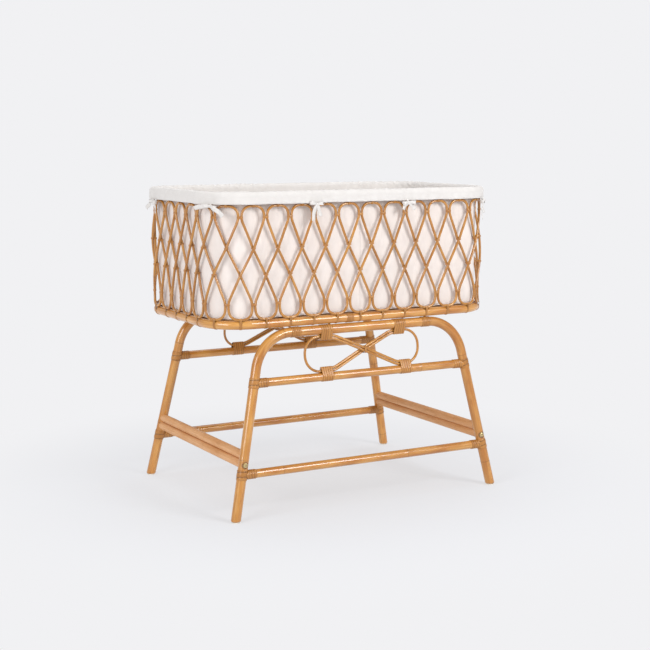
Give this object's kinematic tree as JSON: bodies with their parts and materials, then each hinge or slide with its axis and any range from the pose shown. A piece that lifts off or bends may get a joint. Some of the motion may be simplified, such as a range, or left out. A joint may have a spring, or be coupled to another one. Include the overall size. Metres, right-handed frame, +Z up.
{
  "type": "bassinet on stand",
  "caption": "Rattan bassinet with a looped cane lattice, cotton liner and padded rim, lying on a splayed rattan pole stand with figure-eight ornaments.",
  "frame": {"origin": "on the floor under the middle of the stand", "axes": "+Z up, +X along the cradle, front at -Y"},
  "size_m": [0.862, 0.5794, 0.812],
  "materials": {
    "rattan_pole": "peeled rattan pole, honey tone, satin clear lacquer",
    "rattan_cane": "thin rattan cane, honey tone, satin clear lacquer",
    "rattan_peel": "flat rattan peel wound wet and lacquered",
    "stretcher_rattan": "sanded rattan core rod, paler and more matt",
    "batten_wood": "planed softwood",
    "plywood": "sanded poplar plywood",
    "dowel_wood": "turned beech, unfinished",
    "zinc_steel": "zinc-plated steel",
    "nylon": "moulded nylon, off-white",
    "liner_cotton": "plain woven white cotton",
    "band_cotton": "plain woven white cotton over wadding",
    "ribbon_cotton": "white cotton ribbon",
    "mattress_cover": "quilted white cotton cover over foam"
  },
  "bodies": {
    "stand": {"back_eight_bindings": "rattan_peel", "back_eight_cross_wrap": "rattan_peel", "back_eight_left_cane": "rattan_cane", "back_eight_right_cane": "rattan_cane", "back_left_leg": "rattan_pole", "back_leg_bands": "rattan_peel", "back_lower_rail": "rattan_pole", "back_middle_rail": "rattan_pole", "back_rail_bindings": "rattan_peel", "back_right_leg": "rattan_pole", "back_splice_bindings": "rattan_peel", "back_splice_dowels": "dowel_wood", "back_top_rail": "rattan_pole", "foot_glides": "nylon", "front_eight_bindings": "rattan_peel", "front_eight_cross_wrap": "rattan_peel", "front_eight_left_cane": "rattan_cane", "front_eight_right_cane": "rattan_cane", "front_left_leg": "rattan_pole", "front_leg_bands": "rattan_peel", "front_lower_rail": "rattan_pole", "front_middle_rail": "rattan_pole", "front_rail_bindings": "rattan_peel", "front_right_leg": "rattan_pole", "front_splice_bindings": "rattan_peel", "front_splice_dowels": "dowel_wood", "front_top_rail": "rattan_pole", "left_lower_stretcher": "stretcher_rattan", "left_upper_stretcher": "stretcher_rattan", "rail_screws": "zinc_steel", "right_lower_stretcher": "stretcher_rattan", "right_upper_stretcher": "stretcher_rattan", "stretcher_barrel_nuts": "zinc_steel", "stretcher_bolts": "zinc_steel", "stretcher_pins": "dowel_wood", "stretcher_washers": "zinc_steel"},
    "basket": {"back_lattice": "rattan_cane", "base_battens": "batten_wood", "base_board": "plywood", "base_screws": "zinc_steel", "bottom_ring": "rattan_pole", "bottom_ring_binding": "rattan_peel", "bottom_ring_pin": "dowel_wood", "bottom_straps": "rattan_peel", "front_lattice": "rattan_cane", "left_lattice": "rattan_cane", "liner_floor": "liner_cotton", "liner_wall": "liner_cotton", "lower_cross_ties": "rattan_peel", "lower_touch_ties": "rattan_peel", "ribbon_bows": "ribbon_cotton", "right_lattice": "rattan_cane", "rim_band": "band_cotton", "top_ring": "rattan_cane", "top_straps": "rattan_peel", "upper_cross_ties": "rattan_peel", "upper_touch_ties": "rattan_peel"},
    "mattress": {"mattress": "mattress_cover"}
  },
  "joints": [
    {"name": "basket_lift", "type": "slide", "parent": "stand", "child": "basket", "axis": [0, 0, 1], "range_m": [0, 0.15]},
    {"name": "mattress_lift", "type": "slide", "parent": "basket", "child": "mattress", "axis": [0, 0, 1], "range_m": [0, 0.36]}
  ]
}
